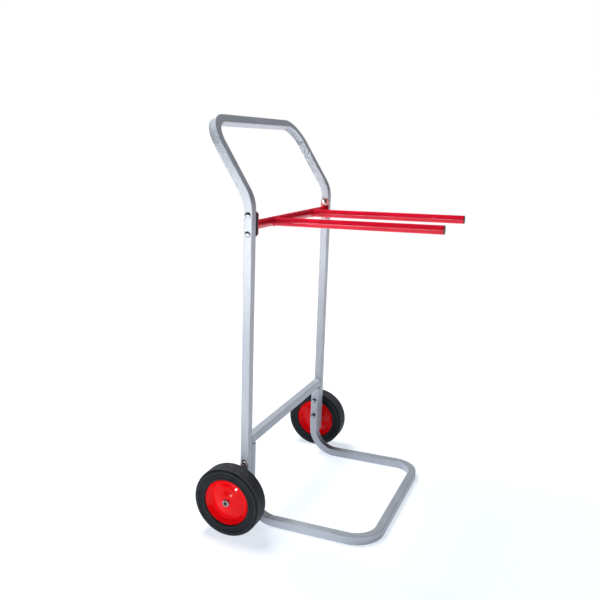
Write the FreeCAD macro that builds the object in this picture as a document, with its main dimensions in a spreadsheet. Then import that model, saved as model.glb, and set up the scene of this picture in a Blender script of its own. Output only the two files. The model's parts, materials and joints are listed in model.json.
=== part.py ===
import FreeCAD, Part
import Sketcher
import math
import os
import re

os.makedirs("parts", exist_ok=True)
doc = FreeCAD.newDocument("chair_truck")

# ---------------------------------------------------------------- driving dimensions (mm, degrees)
dimensions = [
    ("tube_width", 25.0, "square frame tube, across the flats"),
    ("tube_wall", 2.0, "wall of the square tube"),
    ("tube_corner", 3.0, "outside corner radius of the square tube"),
    ("frame_gauge", 559.0, "between the centre lines of the uprights"),
    ("upright_tilt", 1.6, "forward tilt of the uprights"),
    ("origin_shift", 194.15, "foot of the uprights behind the middle of the truck"),
    ("upright_foot", 80.0, "height of the open lower ends of the uprights"),
    ("knee_height", 929.5, "height where upright and handle centre lines meet"),
    ("knee_radius", 90.0, "bend radius at the knee, centre line"),
    ("handle_lean", 31.0, "backward lean of the handle from vertical"),
    ("handle_reach", 239.0, "knee to hand bar along the lean"),
    ("handle_radius", 72.0, "bend radius of the handle corners, centre line"),
    ("toe_reach", 387.5, "upright foot to the front face of the toe bar"),
    ("toe_corner_radius", 74.0, "bend radius of the front toe corners, centre line"),
    ("heel_radius", 80.0, "bend radius from floor leg to riser, centre line"),
    ("riser_top", 241.0, "height of the riser ends"),
    ("crossbar_height", 256.0, "height of the lower crossbar, centre line"),
    ("frame_bolt_low", 141.5, "lower frame bolt height"),
    ("frame_bolt_high", 197.5, "upper frame bolt height"),
    ("fork_height", 862.3, "height of the fork cross tube, centre line"),
    ("fork_tube_dia", 25.4, "fork cross tube diameter"),
    ("fork_arm_dia", 24.0, "fork arm diameter"),
    ("fork_wall", 2.0, "wall of the round tubes"),
    ("fork_arm_gauge", 286.0, "between the centre lines of the arms"),
    ("fork_arm_reach", 482.0, "cross tube centre line to the arm ends"),
    ("plate_thickness", 4.0, "fork end plate thickness"),
    ("plate_width", 28.0, "fork end plate width"),
    ("plate_length", 66.0, "fork end plate length"),
    ("plate_rise", 4.3, "plate centre above the cross tube"),
    ("plate_corner", 6.0, "clipped corners of the end plate"),
    ("plate_forward", 1.5, "plate centre ahead of the upright centre line"),
    ("plate_gap", 4.0, "pad thickness between upright and right end plate"),
    ("fork_bolt_spacing", 49.6, "between the two bolts of an end plate"),
    ("bolt_dia", 8.0, "M8 shank"),
    ("bolt_clearance", 8.6, "bolt hole"),
    ("bolt_head_dia", 16.5, "domed bolt head"),
    ("bolt_head_height", 4.4, "domed bolt head"),
    ("nut_flats", 13.0, "M8 nut across the flats"),
    ("nut_height", 6.5, "M8 nut"),
    ("nut_washer_dia", 15.0, "small-series M8 washer under the nut"),
    ("nut_washer_thickness", 1.6, "washer under the nut"),
    ("plug_head", 1.6, "head of an arm plug"),
    ("plug_insert", 16.0, "part of a plug inside its tube"),
    ("wheel_dia", 200.0, "tyre diameter"),
    ("wheel_track", 668.0, "between the middle planes of the wheels"),
    ("tyre_width", 54.0, "tyre width"),
    ("tyre_shoulder", 9.0, "rounding of the tyre shoulder"),
    ("groove_width", 1.5, "tread groove"),
    ("groove_depth", 1.5, "tread groove"),
    ("groove_outer", 13.0, "outer groove from the middle plane"),
    ("groove_inner", 4.0, "inner groove from the middle plane"),
    ("axle_offset", 20.6, "axle behind the upright centre line"),
    ("rim_lip_radius", 65.4, "rim edge, inside the tyre"),
    ("rim_half_width", 22.5, "rim edge from the middle plane"),
    ("rim_sheet", 2.0, "pressed steel thickness"),
    ("rim_valley_radius", 53.0, "deepest ring of the pressed disc"),
    ("rim_valley_depth", 10.0, "deepest ring from the middle plane"),
    ("hub_dia", 19.0, "hub tube outside diameter"),
    ("hub_bore", 15.0, "hub tube bore"),
    ("hub_length", 46.0, "hub tube length"),
    ("bush_flange", 1.2, "bush flange thickness"),
    ("bush_length", 14.0, "bush length inside the hub"),
    ("journal_dia", 12.0, "axle journal"),
    ("running_fit", 0.06, "radial clearance of the bush on the journal"),
    ("axle_bore", 8.0, "blind hole in the axle end"),
    ("axle_bore_depth", 5.0, "blind hole in the axle end"),
    ("stub_dia", 16.0, "axle root welded to the upright"),
    ("stub_inset", 14.0, "axle root length along the upright's back"),
    ("end_float", 0.3, "axial play of the wheel"),
    ("axle_washer_thickness", 1.5, "thrust washer"),
    ("axle_washer_dia", 24.0, "inner thrust washer"),
    ("clip_dia", 18.6, "push-on retaining clip"),
    ("clip_height", 2.4, "push-on retaining clip"),
]
sheet = doc.addObject("Spreadsheet::Sheet", "sizes")
for row, (alias, value, note) in enumerate(dimensions, start=1):
    sheet.set(f"A{row}", note)
    sheet.set(f"B{row}", str(value))
    sheet.setAlias(f"B{row}", alias)
doc.recompute()


aliases = [entry[0] for entry in dimensions]
exported = []


def size(alias):
    return float(sheet.get(alias))


def bind(thing, prop, formula):
    """Ties a property to the sheet; each alias in the formula is looked up there."""
    text = re.sub(r"[a-z_]+", lambda m: f"sizes.{m[0]}" if m[0] in aliases else m[0], formula)
    thing.setExpression(prop, text)


def place(thing, across, along, up, tilt=0.0, turn=0.0):
    """Moves a sub-part by formulas, tilted about X after a turn about Z (degrees)."""
    tilted = FreeCAD.Rotation(FreeCAD.Vector(1, 0, 0), tilt)
    turned = FreeCAD.Rotation(FreeCAD.Vector(0, 0, 1), turn)
    thing.Placement = FreeCAD.Placement(FreeCAD.Vector(), tilted.multiply(turned))
    bind(thing, "Placement.Base.x", across)
    bind(thing, "Placement.Base.y", along)
    bind(thing, "Placement.Base.z", up)


def label(thing, name):
    thing.Label = name
    exported.append(thing)
    return thing


# ---------------------------------------------------------------- sketches
def plane_of(body, role):
    return next(f for f in body.Origin.OriginFeatures if f.Role == role)


def body_sketch(body, name, role):
    sketch = body.newObject("Sketcher::SketchObject", name)
    sketch.AttachmentSupport = [(plane_of(body, role), "")]
    sketch.MapMode = "FlatFace"
    return sketch


def pin(sketch, geometry, vertex, across, up):
    """Holds one point of the geometry at two formulas measured from the sketch origin."""
    point = sketch.getPoint(geometry, vertex)
    pairs = (("DistanceX", across, point.x, "across"), ("DistanceY", up, point.y, "up"))
    for kind, formula, rough, word in pairs:
        index = sketch.addConstraint(Sketcher.Constraint(kind, -1, 1, geometry, vertex, rough))
        sketch.renameConstraint(index, f"{word}_{geometry}_{vertex}")
        bind(sketch, f"Constraints.{word}_{geometry}_{vertex}", formula)


def outline(sketch, corners):
    """Closed outline through corners given as pairs of formulas."""
    count = len(corners)
    steps = [2 * math.pi * i / count for i in range(count)]
    rough = [FreeCAD.Vector(40 * math.cos(a) + 50, 40 * math.sin(a) + 50, 0) for a in steps]
    for i in range(count):
        sketch.addGeometry(Part.LineSegment(rough[i], rough[(i + 1) % count]), False)
    for i in range(count):
        sketch.addConstraint(Sketcher.Constraint("Coincident", i, 2, (i + 1) % count, 1))
    for i, (across, up) in enumerate(corners):
        pin(sketch, i, 1, across, up)


def rounded_square(sketch, inset):
    """Square tube section, drawn inside the outer skin by the inset formula."""
    half = size("tube_width") / 2
    radius = size("tube_corner")
    for quarter in range(4):
        turn = FreeCAD.Rotation(FreeCAD.Vector(0, 0, 1), 90 * quarter)
        start = turn.multVec(FreeCAD.Vector(radius - half, -half, 0))
        end = turn.multVec(FreeCAD.Vector(half - radius, -half, 0))
        centre = turn.multVec(FreeCAD.Vector(half - radius, radius - half, 0))
        sweep = Part.Circle(centre, FreeCAD.Vector(0, 0, 1), radius)
        first = math.radians(90 * quarter - 90)
        sketch.addGeometry(Part.LineSegment(start, end), False)
        sketch.addGeometry(Part.ArcOfCircle(sweep, first, first + math.pi / 2), False)
    flat = f"(tube_width / 2 - ({inset}))"
    short = "(tube_width / 2 - tube_corner)"
    ends = [(f"-{short}", f"-{flat}"), (short, f"-{flat}"), (flat, f"-{short}"), (flat, short)]
    ends += [(short, flat), (f"-{short}", flat), (f"-{flat}", short), (f"-{flat}", f"-{short}")]
    for quarter in range(4):
        line = 2 * quarter
        pin(sketch, line, 1, *ends[line])
        pin(sketch, line, 2, *ends[line + 1])
        sketch.addConstraint(Sketcher.Constraint("Coincident", line + 1, 1, line, 2))
        sketch.addConstraint(Sketcher.Constraint("Coincident", line + 1, 2, (line + 2) % 8, 1))
        index = sketch.addConstraint(Sketcher.Constraint("Radius", line + 1, radius))
        sketch.renameConstraint(index, f"corner_{line}")
        bind(sketch, f"Constraints.corner_{line}", f"tube_corner - ({inset})")


def ring(sketch, diameter, across="0", up="0"):
    """Circle of a diameter given by a formula, centred at two formulas."""
    rough = Part.Circle(FreeCAD.Vector(1, 1, 0), FreeCAD.Vector(0, 0, 1), 5)
    index = sketch.addGeometry(rough, False)
    pin(sketch, index, 3, across, up)
    across_flats = sketch.addConstraint(Sketcher.Constraint("Diameter", index, 10))
    sketch.renameConstraint(across_flats, f"ring_{index}")
    bind(sketch, f"Constraints.ring_{index}", diameter)


# ---------------------------------------------------------------- features
def new_body(name):
    return label(doc.addObject("PartDesign::Body", name), name)


def extrude(body, sketch, length, kind="Pad"):
    feature = body.newObject(f"PartDesign::{kind}", f"{body.Name}_{kind.lower()}")
    feature.Profile = sketch
    bind(feature, "Length", length)
    return feature


def turned(name, corners):
    """Body turned about its own X axis from an outline of (along the axis, radius)."""
    body = new_body(name)
    sketch = body_sketch(body, f"{name}_half_section", "XY_Plane")
    outline(sketch, corners)
    turning = body.newObject("PartDesign::Revolution", f"{name}_turned")
    turning.Profile = sketch
    turning.ReferenceAxis = (sketch, ["H_Axis"])
    turning.Angle = 360
    return body


def round_edges(body, name, radius, wanted):
    """Fillets the circular edges of the tip whose (x, radius) pass the test."""
    doc.recompute()
    tip = body.Tip
    edges = []
    for number, edge in enumerate(tip.Shape.Edges, start=1):
        if isinstance(edge.Curve, Part.Circle) and wanted(edge.Curve.Center.x, edge.Curve.Radius):
            edges.append(f"Edge{number}")
    fillet = body.newObject("PartDesign::Fillet", name)
    fillet.Base = (tip, edges)
    bind(fillet, "Radius", radius)
    return fillet


def bent_path(name, points, radii):
    """Wire through the points, with a tangent arc at each point between the ends."""
    edges = []
    here = points[0]
    for before, corner, after, radius in zip(points, points[1:], points[2:], radii):
        back = (before - corner).normalize()
        onward = (after - corner).normalize()
        half_angle = back.getAngle(onward) / 2
        setback = radius / math.tan(half_angle)
        middle = corner + (back + onward).normalize() * (radius / math.sin(half_angle) - radius)
        start = corner + back * setback
        end = corner + onward * setback
        edges.append(Part.LineSegment(here, start).toShape())
        edges.append(Part.Arc(start, middle, end).toShape())
        here = end
    edges.append(Part.LineSegment(here, points[-1]).toShape())
    path = doc.addObject("Part::Feature", name)
    path.Shape = Part.Wire(edges)
    return path


def swept_section(name, path, inset, across, along, up):
    """Square section, inset from the outer skin, swept along a path that starts down a tilted upright."""
    section = doc.addObject("Sketcher::SketchObject", f"{name}_section")
    rounded_square(section, inset)
    place(section, across, along, up, tilt=size("upright_tilt"))
    sweep = doc.addObject("Part::Sweep", name)
    sweep.Sections = [section]
    sweep.Spine = (path, [f"Edge{i + 1}" for i in range(len(path.Shape.Edges))])
    sweep.Solid = True
    sweep.Frenet = False
    return sweep


def behind(height):
    """Formula for the Y of the upright centre line at a height given by a formula."""
    return f"origin_shift - ({height}) * tan(upright_tilt * 1 deg)"


def drill(name, height):
    """Bolt hole across the whole truck at a height on the uprights."""
    hole = doc.addObject("Part::Cylinder", name)
    bind(hole, "Radius", "bolt_clearance / 2")
    bind(hole, "Height", "frame_gauge + 2 * tube_width")
    hole.Placement = FreeCAD.Placement(FreeCAD.Vector(), FreeCAD.Rotation(FreeCAD.Vector(0, 1, 0), 90))
    bind(hole, "Placement.Base.x", "-(frame_gauge / 2 + tube_width)")
    bind(hole, "Placement.Base.y", behind(height))
    bind(hole, "Placement.Base.z", height)
    return hole


def hollow(name, outer, tools):
    """Outer solid less everything in tools."""
    removed = doc.addObject("Part::MultiFuse", f"{name}_removed")
    removed.Shapes = tools
    tube = doc.addObject("Part::Cut", name)
    tube.Base = outer
    tube.Tool = removed
    return label(tube, name)


def group(name, members):
    """Identical fasteners as one node of separate solids."""
    together = doc.addObject("Part::Compound", name)
    together.Links = members
    for member in members:
        exported.remove(member)
    return label(together, name)


# ---------------------------------------------------------------- frame
tilt = size("upright_tilt")
fork_bolt_heights = [
    "fork_height + plate_rise - fork_bolt_spacing / 2 * cos(upright_tilt * 1 deg)",
    "fork_height + plate_rise + fork_bolt_spacing / 2 * cos(upright_tilt * 1 deg)",
]
frame_bolt_heights = ["frame_bolt_low", "frame_bolt_high"]


def on_upright(across, height):
    """Point on the tilted plane of the uprights."""
    along = size("origin_shift") - height * math.tan(math.radians(tilt))
    return FreeCAD.Vector(across, along, height)


def main_frame():
    """One bent tube: upright, handle leg, hand bar, handle leg, upright."""
    half = size("frame_gauge") / 2
    lean = math.radians(size("handle_lean"))
    rise = FreeCAD.Vector(0, math.sin(lean), math.cos(lean)) * size("handle_reach")
    foot = on_upright(-half, size("upright_foot"))
    knee = on_upright(-half, size("knee_height"))
    corner = knee + rise
    run = [foot, knee, corner]
    mirrored = [FreeCAD.Vector(-point.x, point.y, point.z) for point in reversed(run)]
    radii = [size("knee_radius"), size("handle_radius"), size("handle_radius"), size("knee_radius")]
    path = bent_path("main_frame_path", run + mirrored, radii)
    start = ("-frame_gauge / 2", behind("upright_foot"), "upright_foot")
    outer = swept_section("main_frame_skin", path, "0", *start)
    inner = swept_section("main_frame_bore", path, "tube_wall", *start)
    holes = [drill(f"upright_hole_{i}", z) for i, z in enumerate(frame_bolt_heights + fork_bolt_heights)]
    hollow("main_frame", outer, [inner] + holes)


def toe_frame():
    """One bent tube on the floor: riser, floor leg, toe bar, floor leg, riser."""
    half = size("frame_gauge") / 2 - size("tube_width")
    centre = size("tube_width") / 2
    top = on_upright(-half, size("riser_top"))
    heel = on_upright(-half, centre)
    front = FreeCAD.Vector(-half, size("origin_shift") - size("toe_reach") + centre, centre)
    run = [top, heel, front]
    mirrored = [FreeCAD.Vector(-point.x, point.y, point.z) for point in reversed(run)]
    radii = [size("heel_radius"), size("toe_corner_radius"), size("toe_corner_radius"), size("heel_radius")]
    path = bent_path("toe_frame_path", run + mirrored, radii)
    start = ("-(frame_gauge / 2 - tube_width)", behind("riser_top"), "riser_top")
    outer = swept_section("toe_frame_skin", path, "0", *start)
    inner = swept_section("toe_frame_bore", path, "tube_wall", *start)
    holes = [drill(f"riser_hole_{i}", z) for i, z in enumerate(frame_bolt_heights)]
    hollow("toe_frame", outer, [inner] + holes)


def lower_crossbar():
    body = new_body("lower_crossbar")
    sketch = body_sketch(body, "lower_crossbar_section", "YZ_Plane")
    rounded_square(sketch, "0")
    extrude(body, sketch, "frame_gauge - tube_width")
    bore = body_sketch(body, "lower_crossbar_bore", "YZ_Plane")
    rounded_square(bore, "tube_wall")
    extrude(body, bore, "frame_gauge - tube_width", "Pocket").Reversed = True
    place(body, "-(frame_gauge - tube_width) / 2", behind("crossbar_height"), "crossbar_height", tilt)


# ---------------------------------------------------------------- fork
def fork_tube():
    body = new_body("fork_cross_tube")
    sketch = body_sketch(body, "fork_cross_tube_section", "YZ_Plane")
    ring(sketch, "fork_tube_dia")
    ring(sketch, "fork_tube_dia - 2 * fork_wall")
    extrude(body, sketch, "frame_gauge - tube_width - plate_gap - 2 * plate_thickness")
    start = "-(frame_gauge - tube_width) / 2 + plate_gap + plate_thickness"
    place(body, start, behind("fork_height"), "fork_height")


def fork_arm(side, sign):
    """Round arm with its root cut to the cross tube."""
    body = new_body(f"fork_arm_{side}")
    sketch = body_sketch(body, f"fork_arm_{side}_section", "XZ_Plane")
    ring(sketch, "fork_arm_dia")
    ring(sketch, "fork_arm_dia - 2 * fork_wall")
    extrude(body, sketch, "fork_arm_reach - plug_head")
    saddle = body_sketch(body, f"fork_arm_{side}_saddle", "YZ_Plane")
    ring(saddle, "fork_tube_dia")
    cut = extrude(body, saddle, "2 * fork_arm_dia", "Pocket")
    cut.SideType = "Symmetric"
    place(body, f"{sign} * fork_arm_gauge / 2", behind("fork_height"), "fork_height")


def fork_plug(side, sign):
    """Black plug in the free end of an arm, domed a little."""
    bore = "(fork_arm_dia / 2 - fork_wall - 0.1)"
    corners = [
        ("0", "0"),
        ("0", bore),
        ("plug_insert", bore),
        ("plug_insert", "fork_arm_dia / 2"),
        ("plug_insert + plug_head", "fork_arm_dia / 2 - 0.8"),
        ("plug_insert + plug_head", "0"),
    ]
    body = turned(f"fork_plug_{side}", corners)
    start = f"{behind('fork_height')} - fork_arm_reach + plug_insert + plug_head"
    place(body, f"{sign} * fork_arm_gauge / 2", start, "fork_height", 0, -90)


def clipped_plate(name, start, thickness):
    """Flat plate with clipped corners and two bolt holes."""
    body = new_body(name)
    sketch = body_sketch(body, f"{name}_outline", "YZ_Plane")
    corners = []
    for across, up in ((1, 1), (-1, 1), (-1, -1), (1, -1)):
        tall = (f"{across} * plate_width / 2 - plate_forward", f"{up} * (plate_length / 2 - plate_corner)")
        flat = (f"{across} * (plate_width / 2 - plate_corner) - plate_forward", f"{up} * plate_length / 2")
        corners += [tall, flat] if across * up > 0 else [flat, tall]
    outline(sketch, corners)
    ring(sketch, "bolt_clearance", "0", "fork_bolt_spacing / 2")
    ring(sketch, "bolt_clearance", "0", "-fork_bolt_spacing / 2")
    extrude(body, sketch, thickness)
    place(body, start, behind("fork_height + plate_rise"), "fork_height + plate_rise", tilt)


# ---------------------------------------------------------------- fasteners
def bolt(name, grip, start, height, turn):
    """Domed bolt lying along X, its head's underside at the start."""
    corners = [
        ("-bolt_head_height", "0"),
        ("-bolt_head_height", "bolt_head_dia / 2"),
        ("0", "bolt_head_dia / 2"),
        ("0", "bolt_dia / 2"),
        (f"{grip} + nut_height + 3", "bolt_dia / 2"),
        (f"{grip} + nut_height + 3", "0"),
    ]
    body = turned(name, corners)
    round_edges(body, f"{name}_dome", "bolt_head_height - 0.4", lambda x, radius: x < -1 and radius > 5)
    place(body, start, behind(height), height, 0, turn)
    return body


def washer(name, outer, inner, thickness, start, height, turn):
    body = new_body(name)
    sketch = body_sketch(body, f"{name}_face", "YZ_Plane")
    ring(sketch, outer)
    ring(sketch, inner)
    extrude(body, sketch, thickness)
    place(body, start, behind(height), height, 0, turn)
    return body


def nut(name, start, height, turn):
    """Hexagon nut lying along X, flats at the top and bottom, seated at the start."""
    body = new_body(name)
    sketch = body_sketch(body, f"{name}_face", "YZ_Plane")
    points = [(math.cos(math.radians(60 * i)), math.sin(math.radians(60 * i))) for i in range(6)]
    corner = "nut_flats / 2 / cos(30 * 1 deg)"
    outline(sketch, [(f"{y:.6f} * {corner}", f"{z:.6f} * {corner}") for y, z in points])
    ring(sketch, "bolt_dia")
    extrude(body, sketch, "nut_height")
    place(body, start, behind(height), height, 0, turn)
    return body


def fasteners():
    """Bolts from the outer faces of the uprights, nuts inside."""
    sides = (("right", "-", 0), ("left", "", 180))
    outer = "(frame_gauge + tube_width) / 2"
    sets = {"frame": frame_bolt_heights, "fork": fork_bolt_heights}
    for kind, heights in sets.items():
        bolts, nuts, washers = [], [], []
        for side, sign, turn in sides:
            inward = "+" if sign else "-"
            if kind == "frame":
                grip = "2 * tube_width"
            else:
                grip = "tube_width + plate_thickness" + (" + plate_gap" if side == "right" else "")
            for level, height in enumerate(heights):
                tag = f"{side}_{level}"
                full = f"{grip} + nut_washer_thickness"
                bolts.append(bolt(f"{kind}_bolt_{tag}", full, f"{sign}({outer})", height, turn))
                seat = f"{sign}({outer}) {inward} ({grip})"
                washers.append(washer(f"{kind}_washer_{tag}", "nut_washer_dia", "bolt_clearance",
                                      "nut_washer_thickness", seat, height, turn))
                nuts.append(nut(f"{kind}_nut_{tag}", f"{seat} {inward} nut_washer_thickness", height, turn))
        group(f"{kind}_bolts", bolts)
        group(f"{kind}_washers", washers)
        group(f"{kind}_nuts", nuts)


# ---------------------------------------------------------------- wheels
def wheel_place(body, sign, turn):
    """Wheel centre; local +X points away from the frame."""
    across = f"{sign} * wheel_track / 2"
    place(body, across, f"{behind('wheel_dia / 2')} + axle_offset", "wheel_dia / 2", 0, turn)


def rim_profile():
    """Half section of one pressed disc: hub eye, cone, valley, bead seat, lip."""
    visible = [
        ("hub_length / 2 - 1", "hub_dia / 2"),
        ("hub_length / 2 - 1.6", "hub_dia / 2 + 6"),
        ("rim_valley_depth + 1.2", "rim_valley_radius - 5"),
        ("rim_valley_depth", "rim_valley_radius - 1"),
        ("rim_valley_depth + 1", "rim_valley_radius + 2.5"),
        ("rim_half_width - 5", "rim_lip_radius - 3.5"),
        ("rim_half_width", "rim_lip_radius"),
    ]
    hidden = [
        ("rim_half_width", "rim_lip_radius + rim_sheet"),
        ("rim_half_width - 6", "rim_lip_radius - 3.5 + rim_sheet"),
        ("rim_valley_depth - 0.5", "rim_valley_radius + 2.5 + rim_sheet"),
        ("rim_valley_depth - rim_sheet", "rim_valley_radius + 1"),
        ("rim_valley_depth - rim_sheet", "rim_valley_radius - 5"),
        ("hub_length / 2 - 1.6 - rim_sheet", "hub_dia / 2 + 6"),
        ("hub_length / 2 - 1 - rim_sheet", "hub_dia / 2"),
    ]
    return visible, hidden


def mirror_axial(points):
    return [(f"-({along})", radius) for along, radius in points]


def tyre_profile():
    """Solid rubber tyre seated on the two pressed discs, with four tread grooves."""
    hidden = rim_profile()[1]
    seat = [hidden[2], hidden[1], hidden[0]]
    shoulder = [
        ("rim_half_width", "rim_lip_radius + rim_sheet + 0.6"),
        ("tyre_width / 2 - 0.6", "rim_lip_radius + rim_sheet + 2"),
        ("tyre_width / 2", "rim_lip_radius + rim_sheet + 8"),
        ("tyre_width / 2", "wheel_dia / 2 - tyre_shoulder"),
        ("tyre_width / 2 - 0.293 * tyre_shoulder", "wheel_dia / 2 - 0.293 * tyre_shoulder"),
        ("tyre_width / 2 - tyre_shoulder", "wheel_dia / 2"),
    ]
    groove = []
    for start in ("groove_outer", "groove_inner"):
        groove += [
            (f"{start} + groove_width", "wheel_dia / 2"),
            (f"{start} + groove_width", "wheel_dia / 2 - groove_depth"),
            (start, "wheel_dia / 2 - groove_depth"),
            (start, "wheel_dia / 2"),
        ]
    half = seat + shoulder + groove
    return half + [point for point in reversed(mirror_axial(half))]


def wheel(side, sign, turn):
    visible, hidden = rim_profile()
    hub_end = "hub_length / 2"
    bush_bore = "journal_dia / 2 + running_fit"
    wheel_place(turned(f"tyre_{side}", tyre_profile()), sign, turn)
    wheel_place(turned(f"rim_outer_{side}", visible + hidden), sign, turn)
    inner = [point for point in reversed(mirror_axial(visible + hidden))]
    wheel_place(turned(f"rim_inner_{side}", inner), sign, turn)
    tube = [(f"-{hub_end}", "hub_bore / 2"), (f"-{hub_end}", "hub_dia / 2")]
    tube += [(hub_end, "hub_dia / 2"), (hub_end, "hub_bore / 2")]
    wheel_place(turned(f"hub_tube_{side}", tube), sign, turn)
    bush = [
        (f"{hub_end} - bush_length", bush_bore),
        (f"{hub_end} - bush_length", "hub_bore / 2"),
        (hub_end, "hub_bore / 2"),
        (hub_end, "hub_dia / 2"),
        (f"{hub_end} + bush_flange", "hub_dia / 2"),
        (f"{hub_end} + bush_flange", bush_bore),
    ]
    wheel_place(turned(f"bush_outer_{side}", bush), sign, turn)
    wheel_place(turned(f"bush_inner_{side}", list(reversed(mirror_axial(bush)))), sign, turn)


def axle(side, sign, turn):
    """Stub axle on the back of an upright, with its washers and retaining clip."""
    face = "(hub_length / 2 + bush_flange + end_float)"
    shoulder = f"-({face} + axle_washer_thickness)"
    root = "-(wheel_track / 2 - frame_gauge / 2 - tube_width / 2 + stub_inset)"
    tip = f"{face} + axle_washer_thickness + clip_height"
    shaft = [
        (root, "0"),
        (root, "stub_dia / 2"),
        (shoulder, "stub_dia / 2"),
        (shoulder, "journal_dia / 2"),
        (f"{tip} - 0.8", "journal_dia / 2"),
        (tip, "journal_dia / 2 - 0.8"),
        (tip, "axle_bore / 2"),
        (f"{tip} - axle_bore_depth", "axle_bore / 2"),
        (f"{tip} - axle_bore_depth", "0"),
    ]
    wheel_place(turned(f"axle_{side}", shaft), sign, turn)
    inner = [
        (shoulder, "journal_dia / 2"),
        (shoulder, "axle_washer_dia / 2"),
        (f"-{face}", "axle_washer_dia / 2"),
        (f"-{face}", "journal_dia / 2"),
    ]
    wheel_place(turned(f"axle_washer_inner_{side}", inner), sign, turn)
    outer = [
        (face, "journal_dia / 2"),
        (face, "clip_dia / 2"),
        (f"{face} + axle_washer_thickness", "clip_dia / 2"),
        (f"{face} + axle_washer_thickness", "journal_dia / 2"),
    ]
    wheel_place(turned(f"axle_washer_outer_{side}", outer), sign, turn)
    seat = f"{face} + axle_washer_thickness"
    clip = [
        (seat, "journal_dia / 2 + 1.6"),
        (seat, "clip_dia / 2"),
        (f"{seat} + 0.9", "clip_dia / 2"),
        (f"{seat} + clip_height", "clip_dia / 2 - 1.2"),
        (f"{seat} + clip_height", "clip_dia / 2 - 2"),
        (f"{seat} + clip_height - 1", "journal_dia / 2"),
        (f"{seat} + clip_height - 1.8", "journal_dia / 2"),
    ]
    wheel_place(turned(f"retaining_clip_{side}", clip), sign, turn)


# ---------------------------------------------------------------- assembly
main_frame()
toe_frame()
lower_crossbar()
fork_tube()
clipped_plate("fork_pad", "-(frame_gauge - tube_width) / 2", "plate_gap")
clipped_plate("fork_plate_right", "-(frame_gauge - tube_width) / 2 + plate_gap", "plate_thickness")
clipped_plate("fork_plate_left", "(frame_gauge - tube_width) / 2 - plate_thickness", "plate_thickness")
for side, sign, turn in (("right", "-1", 180), ("left", "1", 0)):
    fork_arm(side, sign)
    fork_plug(side, sign)
    wheel(side, sign, turn)
    axle(side, sign, turn)
fasteners()
doc.recompute()

for thing in doc.Objects:
    if "Invalid" in thing.State or "Error" in thing.State:
        raise RuntimeError(f"{thing.Label} failed: {thing.State}")
for thing in exported:
    if thing.Shape.isNull() or not thing.Shape.isValid() or not thing.Shape.Solids:
        raise RuntimeError(f"{thing.Label} has no valid solid")
for thing in exported:
    thing.Shape.exportStep(f"parts/{thing.Label}.step")
print(len(exported), "parts written")
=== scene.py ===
import json
import math

import bmesh
import bpy
from mathutils import Matrix, Quaternion, Vector, noise


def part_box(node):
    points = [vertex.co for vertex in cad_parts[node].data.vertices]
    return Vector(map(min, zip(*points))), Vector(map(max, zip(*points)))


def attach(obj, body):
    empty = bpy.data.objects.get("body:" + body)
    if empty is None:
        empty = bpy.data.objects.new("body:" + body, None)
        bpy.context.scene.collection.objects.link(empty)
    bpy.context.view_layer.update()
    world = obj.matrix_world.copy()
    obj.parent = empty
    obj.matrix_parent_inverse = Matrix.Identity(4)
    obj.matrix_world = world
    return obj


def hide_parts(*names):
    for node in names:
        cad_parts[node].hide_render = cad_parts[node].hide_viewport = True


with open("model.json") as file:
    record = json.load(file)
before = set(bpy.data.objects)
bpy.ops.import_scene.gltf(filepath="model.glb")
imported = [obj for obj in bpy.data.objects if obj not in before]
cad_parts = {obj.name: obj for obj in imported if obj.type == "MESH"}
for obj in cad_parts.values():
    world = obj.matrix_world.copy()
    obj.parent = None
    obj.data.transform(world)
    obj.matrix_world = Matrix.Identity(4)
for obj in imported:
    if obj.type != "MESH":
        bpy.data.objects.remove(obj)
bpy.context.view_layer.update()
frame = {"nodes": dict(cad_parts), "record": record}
sides = {"left": 1, "right": -1}
print("frame loaded:", len(frame["nodes"]), "nodes")


class Signal:
    # one value in a shader: arithmetic on it adds Math nodes
    def __init__(self, finish, socket):
        self.finish = finish
        self.socket = socket

    def math(self, operation, first, second=0.0):
        return self.finish.node("Math", {"operation": operation}, {0: first, 1: second})

    def __add__(self, other):
        return self.math("ADD", self, other)

    def __radd__(self, other):
        return self.math("ADD", other, self)

    def __sub__(self, other):
        return self.math("SUBTRACT", self, other)

    def __rsub__(self, other):
        return self.math("SUBTRACT", other, self)

    def __mul__(self, other):
        return self.math("MULTIPLY", self, other)

    def __rmul__(self, other):
        return self.math("MULTIPLY", other, self)

    def between(self, low, high):
        # 0 below low, 1 above high, smooth between
        settings = {"interpolation_type": "SMOOTHSTEP"}
        return self.finish.node("MapRange", settings, {"Value": self, "From Min": low, "From Max": high})


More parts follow.
